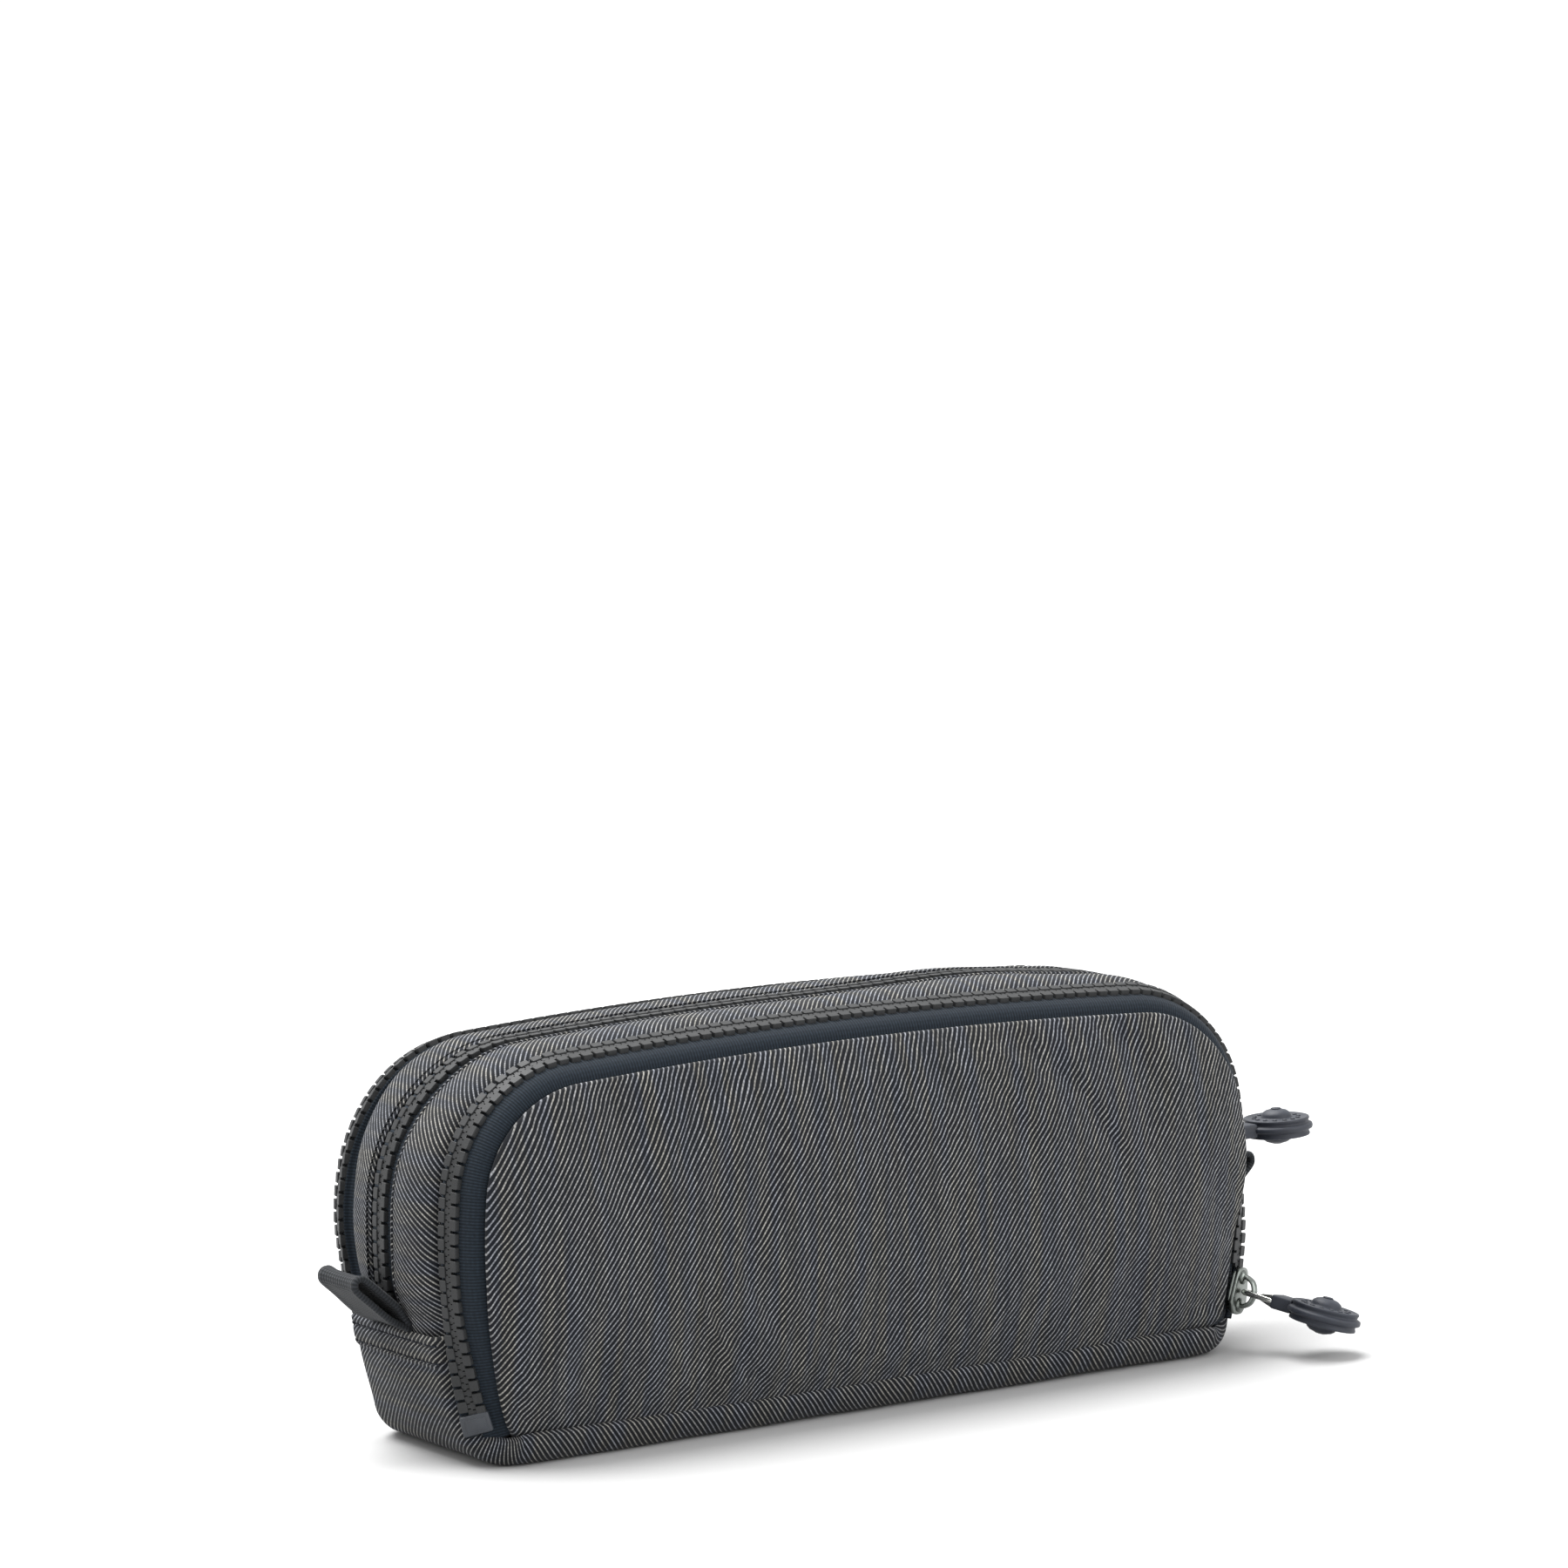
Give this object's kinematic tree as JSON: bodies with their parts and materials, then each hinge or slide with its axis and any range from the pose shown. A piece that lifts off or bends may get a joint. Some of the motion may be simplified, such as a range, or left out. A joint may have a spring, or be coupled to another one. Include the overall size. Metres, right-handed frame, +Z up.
{
  "type": "pencil case",
  "caption": "Soft loaf-shaped denim pencil case with separate zipped compartments, rubber pull grips and webbing loops at its ends.",
  "frame": {"origin": "centre of the underside, on the surface that the case stands on", "axes": "+X along the length, towards the end where the sliders park; +Y towards the rear panel; +Z up"},
  "size_m": [0.2718, 0.1142, 0.0988],
  "materials": {
    "denim": "twill weave, matt",
    "lining": "plain weave, matt",
    "zip_tape": "woven tape, matt",
    "webbing": "ribbed webbing",
    "zip_teeth": "moulded, satin",
    "slider_metal": "polished die casting, pewter tone",
    "link_metal": "polished",
    "grip_rubber": "moulded, matt"
  },
  "bodies": {
    "base": {"base_panel": "denim", "base_lining": "lining", "left_loop": "webbing", "right_loop": "webbing", "middle_zip_bottom_stop": "zip_teeth"},
    "front_half": {"front_gusset": "denim", "front_gusset_lining": "lining", "front_divider": "lining", "front_zip_inner_tape": "zip_tape", "front_zip_inner_teeth": "zip_teeth", "front_zip_bottom_stop": "zip_teeth", "middle_zip_front_tape": "zip_tape", "middle_zip_front_teeth": "zip_teeth"},
    "front_cover": {"front_panel": "denim", "front_panel_lining": "lining", "front_zip_outer_tape": "zip_tape", "front_zip_outer_teeth": "zip_teeth"},
    "rear_half": {"rear_gusset": "denim", "rear_gusset_lining": "lining", "rear_divider": "lining", "rear_zip_inner_tape": "zip_tape", "rear_zip_inner_teeth": "zip_teeth", "rear_zip_bottom_stop": "zip_teeth", "middle_zip_rear_tape": "zip_tape", "middle_zip_rear_teeth": "zip_teeth"},
    "rear_cover": {"rear_panel": "denim", "rear_panel_lining": "lining", "rear_zip_outer_tape": "zip_tape", "rear_zip_outer_teeth": "zip_teeth"},
    "front_slider": {"front_slider_body": "slider_metal", "front_slider_bridge": "slider_metal"},
    "front_pull": {"front_pull_link": "link_metal", "front_pull_grip": "grip_rubber"},
    "middle_slider": {"middle_slider_body": "slider_metal", "middle_slider_bridge": "slider_metal"},
    "middle_pull": {"middle_pull_link": "link_metal", "middle_pull_grip": "grip_rubber"},
    "rear_slider": {"rear_slider_body": "slider_metal", "rear_slider_bridge": "slider_metal"},
    "rear_pull": {"rear_pull_link": "link_metal", "rear_pull_grip": "grip_rubber"}
  },
  "joints": [
    {"name": "front_half_lean", "type": "hinge", "parent": "base", "child": "front_half", "pos_m": [0, -0.0335, 0.0085], "axis": [1, 0, 0], "range_deg": [0, 10]},
    {"name": "rear_half_lean", "type": "hinge", "parent": "base", "child": "rear_half", "pos_m": [0, 0.0335, 0.0085], "axis": [-1, 0, 0], "range_deg": [0, 10]},
    {"name": "front_cover_open", "type": "hinge", "parent": "front_half", "child": "front_cover", "pos_m": [0, -0.0335, 0.0085], "axis": [1, 0, 0], "range_deg": [0, 78]},
    {"name": "rear_cover_open", "type": "hinge", "parent": "rear_half", "child": "rear_cover", "pos_m": [0, 0.0335, 0.0085], "axis": [-1, 0, 0], "range_deg": [0, 78]},
    {"name": "front_slider_run", "type": "hinge", "parent": "front_half", "child": "front_slider", "pos_m": [-0.03342, 0, 0.046], "axis": [0, -1, 0], "range_deg": [0, 7]},
    {"name": "middle_slider_run", "type": "hinge", "parent": "front_half", "child": "middle_slider", "pos_m": [-0.03342, 0, 0.046], "axis": [0, -1, 0], "range_deg": [0, 5]},
    {"name": "rear_slider_run", "type": "hinge", "parent": "rear_half", "child": "rear_slider", "pos_m": [-0.03342, 0, 0.046], "axis": [0, -1, 0], "range_deg": [0, 7]},
    {"name": "front_pull_swing", "type": "hinge", "parent": "front_slider", "child": "front_pull", "pos_m": [0.10549, -0.02955, 0.01435], "axis": [-0.8444, -0.5, 0.1924], "range_deg": [0, 80]},
    {"name": "middle_pull_swing", "type": "hinge", "parent": "middle_slider", "child": "middle_pull", "pos_m": [0.11529, 0, 0.04806], "axis": [0, -1, 0], "range_deg": [0, 75]},
    {"name": "rear_pull_swing", "type": "hinge", "parent": "rear_slider", "child": "rear_pull", "pos_m": [0.10549, 0.02955, 0.01435], "axis": [0.8444, -0.5, -0.1924], "range_deg": [0, 80]}
  ]
}
